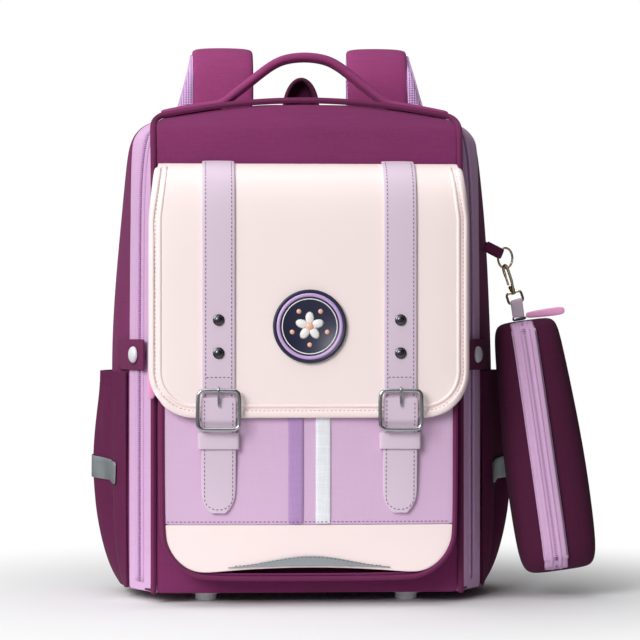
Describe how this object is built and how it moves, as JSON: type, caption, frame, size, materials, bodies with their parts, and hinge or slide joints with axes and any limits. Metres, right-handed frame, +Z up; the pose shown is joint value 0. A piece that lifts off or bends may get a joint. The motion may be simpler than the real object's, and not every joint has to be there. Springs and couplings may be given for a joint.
{
  "type": "school ransel with clip-on pencil case",
  "caption": "Boxy children's school backpack with a buckled front flap over a pocket, zip gussets, side pockets, padded straps and a pencil case on a snap hook.",
  "frame": {"origin": "middle of the whole part's footprint, on the surface that its feet stand on", "axes": "+Z up, +X to the right of someone looking at the front, +Y from the flap towards the back panel"},
  "size_m": [0.412, 0.2482, 0.4619],
  "materials": {
    "maroon_cloth": "fine woven polyester, matt",
    "lilac_cloth": "zip tape, fine rib",
    "pocket_cloth": "fine woven polyester, matt",
    "cream_leather": "smooth synthetic leather, satin",
    "lilac_leather": "smooth synthetic leather, satin",
    "purple_print": "sewn ribbon",
    "white_print": "sewn ribbon",
    "reflective": "reflective tape",
    "chrome": "polished",
    "pale_gold": "polished, pale gold",
    "gunmetal": "dark polished",
    "badge_rubber": "moulded soft plastic",
    "webbing": "ribbed webbing",
    "black_plastic": "moulded",
    "white_plastic": "polished",
    "grey_plastic": "moulded",
    "pink_rubber": "soft moulded"
  },
  "bodies": {
    "bag": {"front_panel": "maroon_cloth", "side_shell": "maroon_cloth", "back_panel": "maroon_cloth", "base_panel": "maroon_cloth", "pocket_gusset": "maroon_cloth", "top_handle": "maroon_cloth", "hang_loop": "maroon_cloth", "strap_left": "maroon_cloth", "strap_right": "maroon_cloth", "side_pocket_left": "maroon_cloth", "side_pocket_right": "maroon_cloth", "snap_tab_left": "maroon_cloth", "snap_tab_right": "maroon_cloth", "ring_tab": "maroon_cloth", "front_piping": "maroon_cloth", "pocket_piping": "maroon_cloth", "zip_gusset": "lilac_cloth", "pocket_panel": "pocket_cloth", "pocket_base": "cream_leather", "flap": "cream_leather", "flap_strap_left": "lilac_leather", "flap_strap_right": "lilac_leather", "tongue_left": "lilac_leather", "tongue_right": "lilac_leather", "keeper_left": "lilac_leather", "keeper_right": "lilac_leather", "stripe_purple": "purple_print", "stripe_white": "white_print", "wave_tape": "reflective", "pocket_tape_left": "reflective", "pocket_tape_right": "reflective", "buckle_left": "chrome", "buckle_right": "chrome", "prong_left": "chrome", "prong_right": "chrome", "pocket_slider": "chrome", "dee_ring": "pale_gold", "rivet_upper_left": "gunmetal", "rivet_upper_right": "gunmetal", "rivet_lower_left": "gunmetal", "rivet_lower_right": "gunmetal", "badge": "badge_rubber", "strap_web_left": "webbing", "strap_web_right": "webbing", "adjuster_left": "black_plastic", "adjuster_right": "black_plastic", "snap_left": "white_plastic", "snap_right": "white_plastic", "foot_front_left": "grey_plastic", "foot_front_right": "grey_plastic", "foot_rear_left": "grey_plastic", "foot_rear_right": "grey_plastic"},
    "case": {"snap_hook": "pale_gold", "case_tab": "lilac_leather", "case_body": "maroon_cloth", "case_zip_band": "lilac_cloth", "case_slider": "chrome", "case_pull": "pink_rubber"},
    "gate": {"hook_gate": "pale_gold"},
    "pull": {"pocket_pull": "pink_rubber"}
  },
  "joints": [
    {"name": "case_swing", "type": "hinge", "parent": "bag", "child": "case", "pos_m": [0.13406, -0.02773, 0.2684], "axis": [-0.9397, -0.342, 0], "range_deg": [0, 60]},
    {"name": "gate_lever", "type": "hinge", "parent": "case", "child": "gate", "pos_m": [0.13669, -0.0282, 0.25473], "axis": [0.9165, 0.3652, 0.1633], "range_deg": [0, 25], "stiffness_Nm_per_rad": 0.002, "springref_deg": -17.19},
    {"name": "pull_swing", "type": "hinge", "parent": "bag", "child": "pull", "pos_m": [-0.15343, -0.09141, 0.1956], "axis": [0, 1, 0], "range_deg": [0, 80]}
  ]
}
